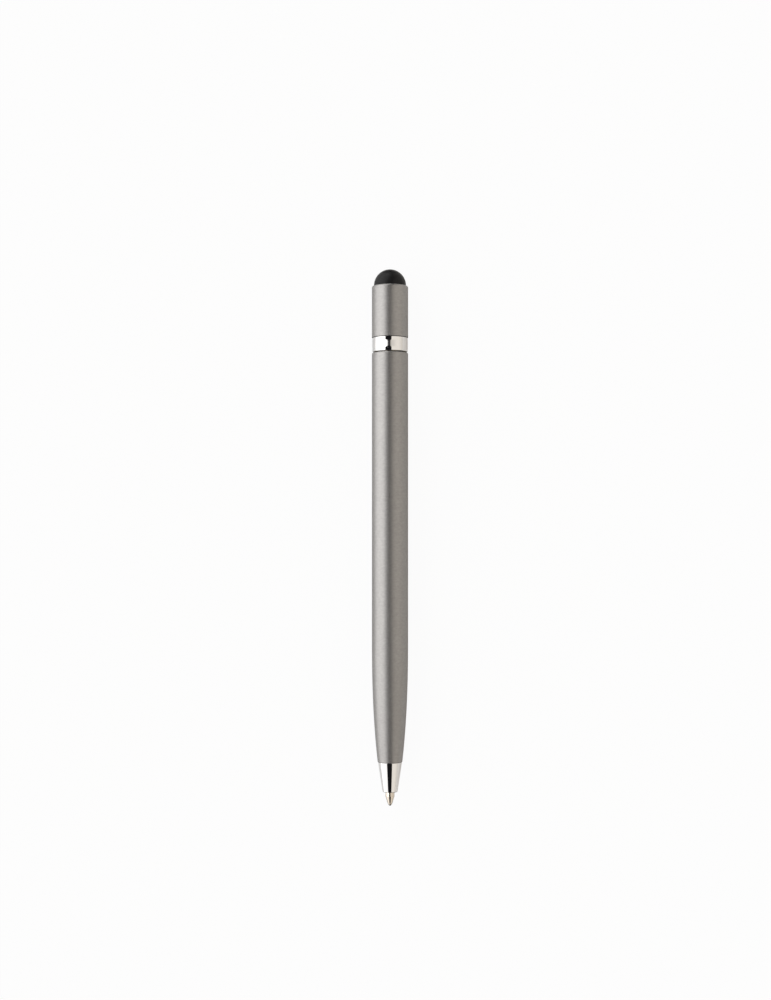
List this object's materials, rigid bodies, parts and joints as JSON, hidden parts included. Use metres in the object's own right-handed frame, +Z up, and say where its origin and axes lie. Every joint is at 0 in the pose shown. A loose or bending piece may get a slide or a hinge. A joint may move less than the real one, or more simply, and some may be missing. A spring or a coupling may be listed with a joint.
{
  "type": "stylus pen",
  "caption": "Slim metal twist-action ball pen with a bright cone nose and centre ring, and a rubber stylus dome at the other end.",
  "frame": {"origin": "middle of the pen's length and width, on the plane that the pen lies on", "axes": "+Y along the pen, from the writing ball to the stylus dome; +Z up from the plane that the pen lies on; +X to the right"},
  "size_m": [0.0092, 0.136, 0.0092],
  "materials": {
    "satin_barrel": "satin",
    "bright_chrome": "polished",
    "brass": "satin",
    "nickelled_brass": "satin",
    "spring_steel": "satin",
    "white_plastic": "matte",
    "turned_aluminium": "satin",
    "black_rubber": "matte",
    "clear_tube": "gloss",
    "ink": "gloss",
    "point_metal": "polished",
    "hard_ball": "polished"
  },
  "bodies": {
    "barrel": {"lower_barrel": "satin_barrel", "nose_cone": "bright_chrome", "barrel_insert": "brass", "guide_tube": "nickelled_brass", "wave_washer": "spring_steel", "clip_washer": "brass", "retaining_clip": "spring_steel", "return_spring": "spring_steel"},
    "cap": {"upper_barrel": "satin_barrel", "centre_ring": "bright_chrome", "drive_sleeve": "brass", "cam_tube": "white_plastic", "stylus_holder": "turned_aluminium", "stylus_nib": "black_rubber"},
    "refill": {"follower": "white_plastic", "cross_pin": "spring_steel", "ink_tube": "clear_tube", "ink_paste": "ink", "point_housing": "point_metal"},
    "ball": {"writing_ball": "hard_ball"}
  },
  "joints": [
    {"name": "twist", "type": "hinge", "parent": "barrel", "child": "cap", "pos_m": [0, 0.04685, 0.0046], "axis": [0, 1, 0], "range_deg": [0, 180]},
    {"name": "refill_slide", "type": "slide", "parent": "barrel", "child": "refill", "axis": [0, 1, 0], "range_m": [0, 0.005], "deforming": ["return_spring"]},
    {"name": "ball_roll", "type": "hinge", "parent": "refill", "child": "ball", "pos_m": [0, -0.06765, 0.0046], "axis": [1, 0, 0], "continuous": true}
  ],
  "couplings": [
    {"joint": "twist", "follows": "refill_slide", "rad_per_m": 628.32}
  ]
}
